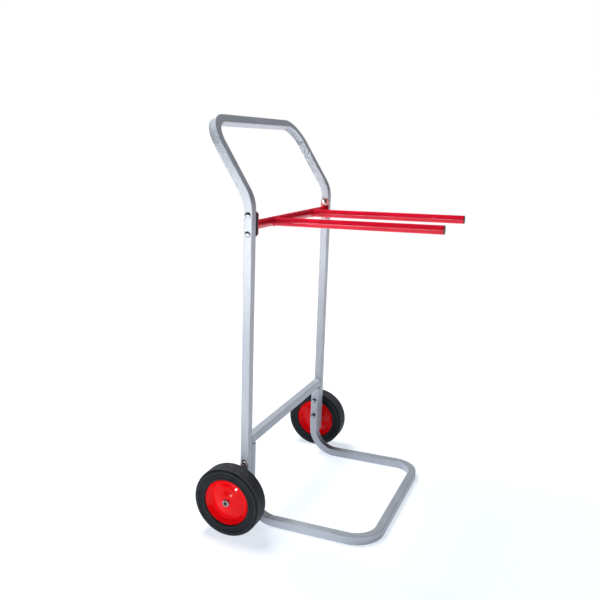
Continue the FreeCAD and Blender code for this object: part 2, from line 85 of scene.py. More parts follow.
class Finish:
    # the nodes of a new material, or of a new world
    def __init__(self, name, kind=bpy.data.materials):
        self.owner = kind.new(name)
        self.owner.use_nodes = True
        self.tree = self.owner.node_tree
        self.tree.nodes.clear()

    def node(self, kind, settings=None, inputs=None, output=0):
        made = self.tree.nodes.new("ShaderNode" + kind)
        for name, value in (settings or {}).items():
            setattr(made, name, value)
        for name, value in (inputs or {}).items():
            if isinstance(value, Signal):
                self.tree.links.new(value.socket, made.inputs[name])
            else:
                made.inputs[name].default_value = value
        return Signal(self, made.outputs[output]) if made.outputs else None

    def place(self):
        return self.node("TexCoord", output="Object")

    def run(self):
        # (around, along, 0) on a drawn tube, in metres
        return self.node("UVMap", {"uv_map": "run"})

    def scaled(self, vector, factors):
        return self.node("VectorMath", {"operation": "MULTIPLY"}, {0: vector, 1: factors})

    def noise(self, vector, scale, detail=3.0, rough=0.5):
        inputs = {"Vector": vector, "Scale": scale, "Detail": detail, "Roughness": rough}
        return self.node("TexNoise", None, inputs)

    def blend(self, factor, first, second):
        first, second = [(*c, 1.0) if isinstance(c, tuple) else c for c in (first, second)]
        return self.node("Mix", {"data_type": "RGBA"}, {0: factor, 6: first, 7: second}, output=2)

    def bump(self, height, strength, distance, under=None):
        inputs = {"Height": height, "Strength": strength, "Distance": distance}
        if under:
            inputs["Normal"] = under
        return self.node("Bump", None, inputs)

    def finished(self, inputs):
        shader = self.node("BsdfPrincipled", None, inputs)
        self.node("OutputMaterial", None, {"Surface": shader})
        return self.owner


silverLook = {"paint": (0.50, 0.54, 0.60), "shade": (0.44, 0.475, 0.535), "line": (0.56, 0.605, 0.67),
              "flake": (0.62, 0.66, 0.72), "scuff": (0.22, 0.23, 0.25), "metallic": 0.03, "roughness": 0.38,
              "lineShare": 0.35, "flakeShare": 0.08, "scuffShare": 0.7}


def silverPaint(name, drawn):
    # metallic powder coat; drawn tubes show faint lines along their length
    finish = Finish(name)
    place = finish.place()
    flake = finish.noise(place, 2600.0, 1.0)
    cloud = finish.noise(place, 9.0, 4.0)
    peel = finish.noise(place, 420.0, 2.0)
    if drawn:
        stretched = finish.scaled(finish.run(), (900.0, 5.0, 5.0))
    else:
        stretched = finish.scaled(place, (3.0, 900.0, 900.0))
    lines = finish.noise(stretched, 1.0, 3.0, 0.6)
    scuffs = finish.noise(finish.scaled(place, (60.0, 240.0, 130.0)), 1.0, 5.0, 0.62).between(0.66, 0.74)
    height = finish.node("SeparateXYZ", None, {0: place}, output=2)
    worn = scuffs * (1 - height.between(0.01, 0.22)) * silverLook["scuffShare"]
    colour = finish.blend(cloud.between(0.3, 0.75), silverLook["shade"], silverLook["paint"])
    colour = finish.blend(lines.between(0.35, 0.75) * silverLook["lineShare"], colour, silverLook["line"])
    colour = finish.blend(flake.between(0.55, 0.8) * silverLook["flakeShare"], colour, silverLook["flake"])
    colour = finish.blend(worn, colour, silverLook["scuff"])
    normal = finish.bump(peel, 0.02, 0.0003)
    normal = finish.bump(lines, 0.02, 0.0003, normal)
    return finish.finished({
        "Base Color": colour, "Metallic": silverLook["metallic"] + flake * 0.08,
        "Roughness": silverLook["roughness"] + cloud * 0.08 + worn * 0.2 - flake * 0.05, "Normal": normal})


def glossPaint(name, paint, deep, roughness, worn, shine):
    # sprayed gloss enamel with orange peel, thin spots and a few rubbed marks
    finish = Finish(name)
    place = finish.place()
    cloud = finish.noise(place, 14.0, 4.0)
    peel = finish.noise(place, 300.0, 2.0)
    fine = finish.noise(place, 1100.0, 2.0)
    rubs = finish.noise(finish.scaled(place, (45.0, 12.0, 170.0)), 1.0, 6.0, 0.62).between(0.64, 0.72) * worn
    colour = finish.blend(cloud.between(0.3, 0.75), deep, paint)
    colour = finish.blend(rubs, colour, tuple(0.55 * c + 0.22 for c in paint))
    normal = finish.bump(peel, 0.06, 0.0004)
    normal = finish.bump(fine, 0.02, 0.0002, normal)
    return finish.finished({
        "Base Color": colour, "Roughness": roughness + cloud * 0.06 + rubs * 0.25,
        "Specular IOR Level": shine, "Coat Weight": 0.14 - rubs * 0.1, "Coat Roughness": 0.03,
        "Normal": normal})


def tyreRubber():
    # moulded solid rubber: dusty bloom in broad patches; lighter on the tread ribs for wear plus a painted
    # highlight, and on the sidewall ridges for a painted highlight
    finish = Finish("moulded_rubber")
    place = finish.place()
    bloom = finish.noise(place, 18.0, 5.0, 0.6)
    grain = finish.noise(place, 900.0, 3.0)
    pits = finish.node("TexVoronoi", {"feature": "F1"}, {"Vector": place, "Scale": 700.0})
    worn = finish.node("Attribute", {"attribute_name": "worn"}, output=2)
    scrape = finish.noise(finish.scaled(place, (500.0, 40.0, 40.0)), 1.0, 4.0, 0.6).between(0.45, 0.7)
    colour = finish.blend(bloom.between(0.35, 0.75), (0.005, 0.007, 0.010), (0.012, 0.015, 0.020))
    # the worn mask paints the ribs lighter for wear and a painted top highlight, and the ridges with a
    # painted ring highlight
    colour = finish.blend(worn * (0.40 + scrape * 0.45), colour, (0.13, 0.13, 0.135))
    normal = finish.bump(grain, 0.18, 0.0004)
    normal = finish.bump(pits, 0.10, 0.0003, normal)
    return finish.finished({
        "Base Color": colour, "Roughness": 0.46 + bloom * 0.16 + worn * 0.12, "Specular IOR Level": 0.20,
        "Normal": normal})


def blackMoulding(name, tone, roughness):
    finish = Finish(name)
    place = finish.place()
    grain = finish.noise(place, 1500.0, 3.0)
    cloud = finish.noise(place, 60.0, 3.0)
    colour = finish.blend(cloud.between(0.3, 0.7), (tone, tone, tone), (tone * 1.7, tone * 1.7, tone * 1.8))
    return finish.finished({
        "Base Color": colour, "Roughness": roughness + cloud * 0.12,
        "Normal": finish.bump(grain, 0.25, 0.0002)})


def greyNylon():
    finish = Finish("grey_nylon")
    place = finish.place()
    cloud = finish.noise(place, 120.0, 3.0)
    colour = finish.blend(cloud, (0.36, 0.36, 0.33), (0.55, 0.55, 0.51))
    return finish.finished({
        "Base Color": colour, "Roughness": 0.42 + cloud * 0.1, "Subsurface Weight": 0.1,
        "Subsurface Scale": 0.001, "Normal": finish.bump(finish.noise(place, 1400.0), 0.1, 0.0002)})


def plated(name, bright, dull, roughness, stain):
    # plated or turned steel with fine turning marks and a few tarnished spots
    finish = Finish(name)
    place = finish.place()
    turning = finish.noise(finish.scaled(place, (3000.0, 200.0, 200.0)), 1.0, 2.0)
    cloud = finish.noise(place, 160.0, 4.0, 0.6)
    spots = finish.noise(place, 420.0, 4.0, 0.65).between(0.58, 0.72) * stain
    colour = finish.blend(cloud.between(0.3, 0.7), dull, bright)
    colour = finish.blend(spots, colour, (0.20, 0.12, 0.06))
    return finish.finished({
        "Base Color": colour, "Metallic": 1.0 - spots * 0.7,
        "Roughness": roughness + cloud * 0.12 + spots * 0.3, "Normal": finish.bump(turning, 0.12, 0.0002)})


finishes = {
    "silver_paint": silverPaint("silver_powder_coat", True),
    "red_paint": glossPaint("fork_red_enamel", (0.70, 0.006, 0.030), (0.60, 0.005, 0.024), 0.26, 0.2, 0.26),
    "rim_red": glossPaint("rim_red_enamel", (0.86, 0.003, 0.006), (0.76, 0.002, 0.005), 0.10, 0.05, 0.08),
    "tyre": tyreRubber(),
    "black_rubber": blackMoulding("pad_rubber", 0.013, 0.62),
    "black_plastic": blackMoulding("plug_plastic", 0.016, 0.42),
    "nylon": greyNylon(),
    # dark brown turned steel: partly the axle end's own tone, partly painted shade for the recess in its end
    "bare_steel": plated("turned_steel", (0.24, 0.21, 0.17), (0.14, 0.12, 0.10), 0.40, 0.8),
    "zinc_plate": plated("zinc_plate", (0.58, 0.60, 0.63), (0.40, 0.42, 0.45), 0.20, 0.12),
}
crossbarPaint = silverPaint("silver_powder_coat_bar", False)
# near-black zinc for the nuts: painted shade, so their faces stay dark instead of catching the lamp
nutZincPaintedShade = plated("nut_zinc_painted_shade", (0.12, 0.125, 0.13), (0.05, 0.053, 0.058), 0.30, 0.2)
print("finishes made:", len(finishes) + 2)


def addPiece(name, work, body, slot, replaced=(), sharp=35.0):
    # closes a bmesh into an object that rides on a body and stands for CAD nodes
    bmesh.ops.recalc_face_normals(work, faces=work.faces)
    for edge in work.edges:
        edge.smooth = len(edge.link_faces) == 2 and edge.calc_face_angle(0.0) < math.radians(sharp)
    for face in work.faces:
        face.smooth = True
    mesh = bpy.data.meshes.new(name)
    work.to_mesh(mesh)
    work.free()
    mesh.materials.append(finishes[slot])
    piece = bpy.data.objects.new(name, mesh)
    bpy.context.collection.objects.link(piece)
    piece.modifiers.new("even_shading", "WEIGHTED_NORMAL").keep_sharp = True
    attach(piece, body)
    if replaced:
        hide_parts(*replaced)
    return piece


def curvePoints(points, per):
    # smooth outline through the points
    closed = [points[0], *points, points[-1]]
    smooth = []
    for a, b, c, d in zip(closed, closed[1:], closed[2:], closed[3:]):
        for step in range(per):
            t = step / per
            weights = (-t + 2 * t**2 - t**3, 2 - 5 * t**2 + 3 * t**3, t + 4 * t**2 - 3 * t**3, t**3 - t**2)
            smooth.append(tuple(sum(w * p[k] for w, p in zip(weights, (a, b, c, d))) / 2 for k in (0, 1)))
    return smooth + [points[-1]]


def lathe(work, profile, centre, turns=96, facing=1, twist=None):
    # closed outline of (along X, radius) turned about an X axis through the centre
    rings = []
    for step in range(turns):
        angle = 2 * math.pi * step / turns
        ring = []
        for along, radius in profile:
            shift = twist(along, angle) if twist else 0.0
            ring.append(work.verts.new((centre.x + facing * along,
                                        centre.y + (radius + shift) * math.cos(angle),
                                        centre.z + (radius + shift) * math.sin(angle))))
        rings.append(ring)
    for here, there in zip(rings, rings[1:] + rings[:1]):
        for k in range(len(profile)):
            after = (k + 1) % len(profile)
            work.faces.new((here[k], here[after], there[after], there[k]))
    bmesh.ops.remove_doubles(work, verts=work.verts, dist=1e-7)
    bmesh.ops.dissolve_degenerate(work, dist=1e-7, edges=work.edges)


def middle(node):
    low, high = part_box(node)
    return (low + high) / 2


# ---- drawn square tubes

tube = {"width": 0.025, "corner": 0.003, "leastCorner": 0.0008, "wall": 0.002, "tilt": 1.6,
        "cornerSteps": 5, "flatSteps": 8}
half = tube["width"] / 2
barMiddle = middle("lower_crossbar")


def uprightLine(height):
    # Y of the uprights' centre line
    return barMiddle.y - (height - barMiddle.z) * math.tan(math.radians(tube["tilt"]))


def squareSection(inset):
    # (point, walls it lies on) round the section, anticlockwise from the corner after the +a wall
    reach = half - inset
    radius = max(tube["corner"] - inset, tube["leastCorner"])
    points = []
    for quarter in range(4):
        turn = Matrix.Rotation(math.pi / 2 * quarter, 2)
        for step in range(1, tube["flatSteps"]):
            across = (reach - radius) * (2 * step / tube["flatSteps"] - 1)
            points.append(turn @ Vector((reach, across)))
        for step in range(tube["cornerSteps"] + 1):
            angle = math.pi / 2 * step / tube["cornerSteps"]
            centre = Vector((reach - radius, reach - radius))
            points.append(turn @ (centre + radius * Vector((math.cos(angle), math.sin(angle)))))
    return points


def bentStations(points, bends, side, perArc=40, straightStep=0.03):
    # places along straight runs joined by arcs, each with its two section directions
    stations = []
    heading = (points[1] - points[0]).normalized()
    side = side.normalized()
    here = points[0]

    def straight(start, end):
        count = max(2, int((end - start).length / straightStep))
        for step in range(count + 1):
            stations.append((start.lerp(end, step / count), side, heading.cross(side), None, 0.0, None))

    for before, corner, after, (radius, dent) in zip(points, points[1:], points[2:], bends):
        back = (before - corner).normalized()
        onward = (after - corner).normalized()
        halfAngle = back.angle(onward) / 2
        setback = radius / math.tan(halfAngle)
        start = corner + back * setback
        straight(here, start)
        axis = heading.cross(onward).normalized()
        sweep = math.pi - 2 * halfAngle
        centre = start + axis.cross(heading) * radius
        firstHeading, firstSide = heading, side
        for step in range(1, perArc):
            turn = Quaternion(axis, sweep * step / perArc)
            heading = turn @ firstHeading
            side = turn @ firstSide
            spot = centre + turn @ (start - centre)
            toCentre = (centre - spot).normalized()
            stations.append((spot, side, heading.cross(side), toCentre, step / perArc, dent))
        turn = Quaternion(axis, sweep)
        heading = turn @ firstHeading
        side = turn @ firstSide
        here = corner + onward * setback
    straight(here, points[-1])
    return stations


# how far across a wall the press reaches, and the creases it leaves at a bend's ends
press = {"wallAt": 0.85, "reach": 0.92, "crimpAt": (0.05, 0.95), "crimpWidth": 0.04, "ripple": 0.12,
         "ripples": 12, "sinkAcross": 0.7, "sinkAlong": 0.6}


def crushed(point, inward, through, dent):
    # how a wall moves where the bender pressed it: the inner wall folds in, the outer one sinks
    toward = point.dot(inward) / half
    across = abs(point.dot(Vector((-inward.y, inward.x)))) / half
    mid = max(0.0, math.cos(math.pi / 2 * min(across / press["reach"], 1.0)))
    swell = math.sin(math.pi * through)
    plateau = min(1.0, min(through, 1 - through) / dent["onset"])
    plateau = plateau * plateau * (3 - 2 * plateau)
    if toward > press["wallAt"]:
        crimp = sum(math.exp(-((through - end) / press["crimpWidth"]) ** 2) for end in press["crimpAt"])
        ripple = 1 + press["ripple"] * math.sin(press["ripples"] * math.pi * through)
        return -inward * mid * (dent["inner"] * plateau * ripple - dent["crimp"] * crimp)
    if toward < -press["wallAt"]:
        return inward * (mid ** press["sinkAcross"] * dent["outer"] * swell ** press["sinkAlong"])
    side = Vector((-inward.y, inward.x)) * math.copysign(1, point.dot(Vector((-inward.y, inward.x))))
    return side * (dent["bulge"] * swell * max(0.0, math.cos(math.pi / 2 * toward)))


def drawnTube(name, stations, body, slot, replaced):
    work = bmesh.new()
    runMap = work.loops.layers.uv.new("run")
    skins = []
    lengths = [0.0]
    for here, there in zip(stations, stations[1:]):
        lengths.append(lengths[-1] + (there[0] - here[0]).length)
    for inset in (0.0, tube["wall"]):
        section = squareSection(inset)
        rings = []
        for spot, side, depth, toCentre, through, dent in stations:
            ring = []
            for point in section:
                moved = point.copy()
                if toCentre:
                    inward = Vector((toCentre.dot(side), toCentre.dot(depth))).normalized()
                    moved += crushed(point * half / (half - inset), inward, through, dent)
                ring.append(work.verts.new(spot + side * moved.x + depth * moved.y))
            rings.append(ring)
        skins.append(rings)
        count = len(section)
        around = [0.0]
        for k in range(count):
            around.append(around[-1] + (section[(k + 1) % count] - section[k]).length)
        for i in range(len(rings) - 1):
            for k in range(count):
                after = (k + 1) % count
                face = work.faces.new((rings[i][k], rings[i][after], rings[i + 1][after], rings[i + 1][k]))
                spread = ((k, i), (k + 1, i), (k + 1, i + 1), (k, i + 1))
                for loop, (a, b) in zip(face.loops, spread):
                    loop[runMap].uv = (around[a], lengths[b])
    outer, inner = skins
    for end in (0, -1):
        for k in range(count):
            after = (k + 1) % count
            work.faces.new((outer[end][k], outer[end][after], inner[end][after], inner[end][k]))
    return addPiece(name, work, body, slot, replaced)


mainFrame = {"kneeRadius": 0.090, "handleRadius": 0.072, "lean": 31.0, "handleReach": 0.239,
             "kneeHeight": 0.9295, "footHeight": 0.080,
             "kneeDent": {"inner": 0.0016, "outer": 0.0010, "crimp": 0.0004, "bulge": 0.0003, "onset": 0.30},
             "handleDent": {"inner": 0.0056, "outer": 0.0068, "crimp": 0.0022, "bulge": 0.0003,
                            "onset": 0.12}}
toeFrame = {"heelRadius": 0.080, "cornerRadius": 0.074, "riserTop": 0.241,
            "heelDent": {"inner": 0.0046, "outer": 0.0030, "crimp": 0.0008, "bulge": 0.0003, "onset": 0.14},
            "cornerDent": {"inner": 0.0030, "outer": 0.0026, "crimp": 0.0006, "bulge": 0.0, "onset": 0.20}}


def mirroredRun(run):
    return run + [Vector((-p.x, p.y, p.z)) for p in reversed(run)]


def bendsOf(shape, names):
    return [(shape[f"{name}Radius"], shape[f"{name}Dent"]) for name in names]


def makeMainFrame():
    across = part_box("main_frame")[0].x + half
    lean = math.radians(mainFrame["lean"])
    foot = Vector((across, uprightLine(mainFrame["footHeight"]), mainFrame["footHeight"]))
    knee = Vector((across, uprightLine(mainFrame["kneeHeight"]), mainFrame["kneeHeight"]))
    corner = knee + Vector((0, math.sin(lean), math.cos(lean))) * mainFrame["handleReach"]
    bends = bendsOf(mainFrame, ("knee", "handle", "handle", "knee"))
    stations = bentStations(mirroredRun([foot, knee, corner]), bends, Vector((1, 0, 0)))
    drawnTube("bent_main_tube", stations, "frame", "silver_paint", ["main_frame"])


def makeToeFrame():
    low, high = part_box("toe_frame")
    across = low.x + half
    top = Vector((across, uprightLine(toeFrame["riserTop"]), toeFrame["riserTop"]))
    heel = Vector((across, uprightLine(half), half))
    front = Vector((across, low.y + half, half))
    bends = bendsOf(toeFrame, ("heel", "corner", "corner", "heel"))
    stations = bentStations(mirroredRun([top, heel, front]), bends, Vector((1, 0, 0)))
    drawnTube("bent_toe_tube", stations, "frame", "silver_paint", ["toe_frame"])


makeMainFrame()
makeToeFrame()
print("tubes bent")


# ---- wheels

wheelShape = {"treadRadius": 0.09998, "halfWidth": 0.027, "shoulder": 0.009, "beadRadius": 0.0674,
              "grooves": (0.004, 0.013), "grooveWidth": 0.0026, "grooveDepth": 0.0020, "crown": 0.0006,
              "lip": 0.0004, "lipDrop": 0.0003, "draft": 0.0002,
              # radii and width of the sidewall rings that get a painted highlight
              "highlightRidges": (0.0891, 0.0712), "highlightRidgeWidth": 0.0011,
              "wall": [(0.0175, 0.0639), (0.0225, 0.0674), (0.0231, 0.0686), (0.0252, 0.0692),
                       (0.0262, 0.0702), (0.0264, 0.0722), (0.0250, 0.0736), (0.0249, 0.0756),
                       (0.0258, 0.0790), (0.0260, 0.0832), (0.0252, 0.0862), (0.0258, 0.0872),
                       (0.0269, 0.0880), (0.0270, 0.0890), (0.0268, 0.0899)]}


def tyreOutline():
    # closed outline of half the tyre's section, mirrored; the tread has four grooves
    w = wheelShape
    outline = curvePoints(w["wall"], 3)
    shoulder = w["shoulder"]
    centre = (w["halfWidth"] - shoulder, w["treadRadius"] - shoulder)
    for step in range(1, 10):
        angle = math.radians(10 * step)
        outline.append((centre[0] + shoulder * math.cos(angle), centre[1] + shoulder * math.sin(angle)))
    for start in reversed(w["grooves"]):
        crown = w["treadRadius"] - w["crown"] * (start / w["halfWidth"]) ** 2
        floor = crown - w["grooveDepth"]
        end = start + w["grooveWidth"]
        outline += [(end + w["lip"], crown), (end, crown - w["lipDrop"]), (end - w["draft"], floor)]
        outline += [(start + w["draft"], floor), (start, crown - w["lipDrop"]), (start - w["lip"], crown)]
    return outline + [(-a, r) for a, r in reversed(outline)]


def makeTyre(side):
    centre = middle(f"tyre_{side}")
    work = bmesh.new()
    lathe(work, tyreOutline(), centre, 144, sides[side])
    worn = work.verts.layers.float.new("worn")
    # ribs: lighter for wear and for a painted highlight
    ribRadius = wheelShape["treadRadius"] - wheelShape["grooveDepth"]
    for vert in work.verts:
        radius = math.hypot(vert.co.y - centre.y, vert.co.z - centre.z)
        rib = (radius - ribRadius) / (0.5 * wheelShape["grooveDepth"])
        # sidewall rings: a painted ring highlight carried in the worn mask, not wear
        ridgeHighlight = sum(math.exp(-((radius - r) / wheelShape["highlightRidgeWidth"]) ** 2) for r in wheelShape["highlightRidges"])
        vert[worn] = min(max(rib, 0.45 * ridgeHighlight, 0.0), 1.0)
    addPiece(f"ribbed_tyre_{side}", work, f"wheel_{side}", "tyre", [f"tyre_{side}"], sharp=50)


rimShape = {"sheet": 0.0019, "face": [(0.0220, 0.0097), (0.0217, 0.0125), (0.0209, 0.0165), (0.0192, 0.0225),
                                      (0.0172, 0.0285), (0.0153, 0.0350), (0.0136, 0.0415), (0.0117, 0.0475),
                                      (0.0104, 0.0510), (0.0101, 0.0528), (0.0112, 0.0545), (0.0148, 0.0583),
                                      (0.0182, 0.0617), (0.0205, 0.0640), (0.0221, 0.0650), (0.0225, 0.0658)]}


def makeRim(side, name, facing):
    # one pressed disc: eye round the hub, shallow cone, crease and flared lip
    centre = middle(f"tyre_{side}")
    front = curvePoints(rimShape["face"], 4)
    back = []
    for before, (along, radius), after in zip(front[:1] + front, front, front[1:] + front[-1:]):
        run, rise = after[0] - before[0], after[1] - before[1]
        length = math.hypot(run, rise)
        back.append((along - rimShape["sheet"] * rise / length, radius + rimShape["sheet"] * run / length))
    work = bmesh.new()
    lathe(work, front + back[::-1], centre, 120, facing)
    replaced = [f"rim_{name}_{side}"]
    addPiece(f"pressed_disc_{name}_{side}", work, f"wheel_{side}", "rim_red", replaced, sharp=50)


clipShape = {"radius": 0.0093, "bore": 0.0060, "teeth": 8, "toothLength": 0.0011}


def makeClip(side):
    # push-on cap: domed ring with sprung teeth that bite the axle
    low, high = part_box(f"retaining_clip_{side}")
    centre = (low + high) / 2
    outward = sides[side]
    depth = high.x - low.x
    bottom = -depth / 2
    radius, bore = clipShape["radius"], clipShape["bore"]
    outline = [(bottom, radius - 0.0003), (bottom + 0.0003, radius), (bottom + 0.0010, radius),
               (bottom + 0.0017, radius - 0.0003), (bottom + 0.0022, radius - 0.0010),
               (bottom + 0.0024, radius - 0.0019), (bottom + 0.0022, radius - 0.0025),
               (bottom + 0.0014, bore + 0.0002), (bottom + 0.0010, bore + 0.0002),
               (bottom + 0.0004, radius - 0.0014), (bottom, radius - 0.0014)]

    def teeth(along, angle):
        notch = math.cos(clipShape["teeth"] * angle)
        inner = bottom + 0.0009 < along < bottom + 0.0015
        return clipShape["toothLength"] * max(0.0, notch - 0.55) / 0.45 if inner else 0.0

    work = bmesh.new()
    lathe(work, outline, centre, 128, outward, teeth)
    addPiece(f"push_on_cap_{side}", work, "frame", "zinc_plate", [f"retaining_clip_{side}"])


for side, outward in sides.items():
    makeTyre(side)
    makeRim(side, "outer", outward)
    makeRim(side, "inner", -outward)
    makeClip(side)
print("wheels turned")


# ---- fork plates and plugs

plate = {"width": 0.028, "height": 0.066, "bevel": 0.0006, "corner": 0.006}


def makeForkPlate(side):
    # flat end plate with clipped corners, tilted with the upright
    low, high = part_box(f"fork_plate_{side}")
    centre = (low + high) / 2
    tilt = Matrix.Rotation(math.radians(tube["tilt"]), 3, "X")
    wide, tall = plate["width"] / 2, plate["height"] / 2
    clip = plate["corner"]
    corners = [(wide, tall - clip), (wide - clip, tall), (clip - wide, tall), (-wide, tall - clip),
               (-wide, clip - tall), (clip - wide, -tall), (wide - clip, -tall), (wide, clip - tall)]
    work = bmesh.new()
    for across in (low.x, high.x):
        onFace = Vector((across, centre.y, centre.z))
        ring = [work.verts.new(onFace + tilt @ Vector((0, y, z))) for y, z in corners]
        work.faces.new(ring)
    work.verts.ensure_lookup_table()
    count = len(corners)
    for k in range(count):
        after = (k + 1) % count
        work.faces.new([work.verts[i] for i in (k, after, count + after, count + k)])
    bmesh.ops.bevel(work, geom=work.edges[:], offset=plate["bevel"], segments=3, profile=0.5, affect="EDGES")
    addPiece(f"end_plate_{side}", work, "frame", "red_paint", [f"fork_plate_{side}"], sharp=60)


def alongArm(work, outline, centre, turns=48):
    # a lathe about Y: made about X at the origin, then turned so +X becomes -Y
    lathe(work, outline, Vector(), turns)
    bmesh.ops.rotate(work, verts=work.verts, cent=Vector(), matrix=Matrix.Rotation(-math.pi / 2, 3, "Z"))
    bmesh.ops.translate(work, verts=work.verts, vec=centre)


# rib and head outlines are (along, radius), from a rib's start and from the outer face
plug = {"tip": 0.0090, "stem": 0.0099, "stemEnd": 0.0170, "ribs": 4, "firstRib": 0.0160, "ribPitch": 0.0034,
        "rib": [(0.0, 0.0099), (0.0006, 0.0093), (0.0022, 0.0093), (0.0028, 0.0099)],
        "head": [(-0.0016, 0.0099), (-0.0016, 0.0119), (-0.0011, 0.0120), (-0.0006, 0.0118),
                 (-0.0002, 0.0112), (0.0, 0.0098), (-0.0001, 0.0060), (0.0, 0.0)]}


def makePlug(side):
    # ribbed stem inside the arm, thin domed head outside
    low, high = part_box(f"fork_plug_{side}")
    centre = (low + high) / 2
    head = (high.y - low.y) / 2
    outline = [(-head, 0.0), (-head, plug["tip"]), (head - plug["stemEnd"], plug["stem"])]
    for rib in range(plug["ribs"]):
        start = head - plug["firstRib"] + plug["ribPitch"] * rib
        outline += [(start + along, radius) for along, radius in plug["rib"]]
    outline += [(head + along, radius) for along, radius in plug["head"]]
    work = bmesh.new()
    alongArm(work, outline, centre)
    addPiece(f"ribbed_plug_{side}", work, "frame", "black_plastic", [f"fork_plug_{side}"])


for side in sides:
    makeForkPlate(side)
    makePlug(side)
print("fork trimmed")


# ---- fasteners

bolt = {"headRadius": 0.00825, "headHeight": 0.0044, "headRim": 0.0006, "shank": 0.0040, "pitch": 0.00125,
        "thread": 0.0006, "threadLength": 0.012, "plainTip": 0.0006, "tipCut": 0.0009, "turns": 40}
nut = {"flats": 0.013, "bore": 0.0041, "chamfer": 0.0005, "cornerReach": 1.12, "steps": 72}


def islandBoxes(node):
    # the separate solids of a grouped node, as boxes
    work = bmesh.new()
    work.from_mesh(frame["nodes"][node].data)
    bmesh.ops.remove_doubles(work, verts=work.verts, dist=1e-6)
    left = set(work.verts)
    boxes = []
    while left:
        stack = [left.pop()]
        island = list(stack)
        while stack:
            for edge in stack.pop().link_edges:
                for vert in edge.verts:
                    if vert in left:
                        left.remove(vert)
                        stack.append(vert)
                        island.append(vert)
        corners = [Vector(pick(v.co[k] for v in island) for k in range(3)) for pick in (min, max)]
        boxes.append(corners)
    work.free()
    return sorted(boxes, key=lambda b: (b[0].x, b[0].z))


def boltOutline(length):
    # from the crown of the dome to the threaded tip
    height, radius, rim = bolt["headHeight"], bolt["headRadius"], bolt["headRim"]
    outline = []
    for step in range(10):
        angle = math.pi / 2 * step / 9
        outline.append((-rim - (height - rim) * math.cos(angle), radius * math.sin(angle)))
    outline += [(-0.0002, radius), (0.0, radius - 0.0002), (0.0, bolt["shank"])]
    threadStart = length - bolt["threadLength"]
    threadEnd = length - bolt["plainTip"]
    steps = int((threadEnd - threadStart) / (bolt["pitch"] / 6))
    for step in range(steps + 1):
        outline.append((threadStart + step * bolt["pitch"] / 6, bolt["shank"] - bolt["thread"] / 2))
    return outline + [(length, bolt["shank"] - bolt["tipCut"]), (length, 0.0)], threadStart, threadEnd


def makeBolts(node, name):
    work = bmesh.new()
    for low, high in islandBoxes(node):
        outward = math.copysign(1, low.x + high.x)
        seat = (high.x if outward > 0 else low.x) - outward * bolt["headHeight"]
        length = high.x - low.x - bolt["headHeight"]
        outline, threadStart, threadEnd = boltOutline(length)

        def thread(along, angle, start=threadStart, end=threadEnd):
            if not start <= along <= end:
                return 0.0
            return bolt["thread"] / 2 * math.cos(2 * math.pi * along / bolt["pitch"] - angle)

        single = bmesh.new()
        centre = Vector((seat, (low.y + high.y) / 2, (low.z + high.z) / 2))
        lathe(single, outline, centre, bolt["turns"], -outward, thread)
        part = bpy.data.meshes.new("one_bolt")
        single.to_mesh(part)
        single.free()
        work.from_mesh(part)
        bpy.data.meshes.remove(part)
    addPiece(name, work, "frame", "zinc_plate", [node], sharp=42)


def makeNuts(node, name):
    # hexagon nuts with rounded corners; each face is cut back to a circle just inside the flats
    work = bmesh.new()
    angles = [2 * math.pi * step / nut["steps"] for step in range(nut["steps"])]
    for low, high in islandBoxes(node):
        centre = (low + high) / 2
        thick = (high.x - low.x) / 2
        flat = nut["flats"] / 2
        rings = []
        body = thick - nut["chamfer"]
        for along, atFace in ((-thick, True), (-body, False), (body, False), (thick, True)):
            limit = flat - 0.0001 if atFace else flat * nut["cornerReach"]
            ring = []
            for angle in angles:
                reach = min(flat / math.cos(angle % (math.pi / 3) - math.pi / 6), limit)
                ring.append((along, reach * math.cos(angle), reach * math.sin(angle)))
            rings.append(ring)
        for along in (thick, -thick):
            rings.append([(along, nut["bore"] * math.cos(a), nut["bore"] * math.sin(a)) for a in angles])
        made = [[work.verts.new(centre + Vector(point)) for point in ring] for ring in rings]
        for here, there in zip(made, made[1:] + made[:1]):
            for k in range(nut["steps"]):
                after = (k + 1) % nut["steps"]
                work.faces.new((here[k], here[after], there[after], there[k]))
    nuts = addPiece(name, work, "frame", "zinc_plate", [node], sharp=28)
    # the nuts take the near-black zinc of painted shade
    nuts.data.materials[0] = nutZincPaintedShade


makeBolts("frame_bolts", "dome_bolts_frame")
makeBolts("fork_bolts", "dome_bolts_fork")
makeNuts("frame_nuts", "hex_nuts_frame")
makeNuts("fork_nuts", "hex_nuts_fork")
print("fasteners threaded")


# ---- weld beads

weld = {"radius": 0.0024, "pitch": 0.0021, "steps": 10, "valley": 0.86, "ripple": 0.14, "wander": 0.18,
        "wanderScale": 260, "endSize": 0.35, "endSteps": 4, "collarIn": 0.0006, "barIn": 0.0005,
        "barInset": 0.0006, "saddleSteps": 120,
        "collarSteps": 110, "seamSteps": 16, "crossbarSize": 0.75, "seamLevel": 0.0055, "seamOut": 0.0016}


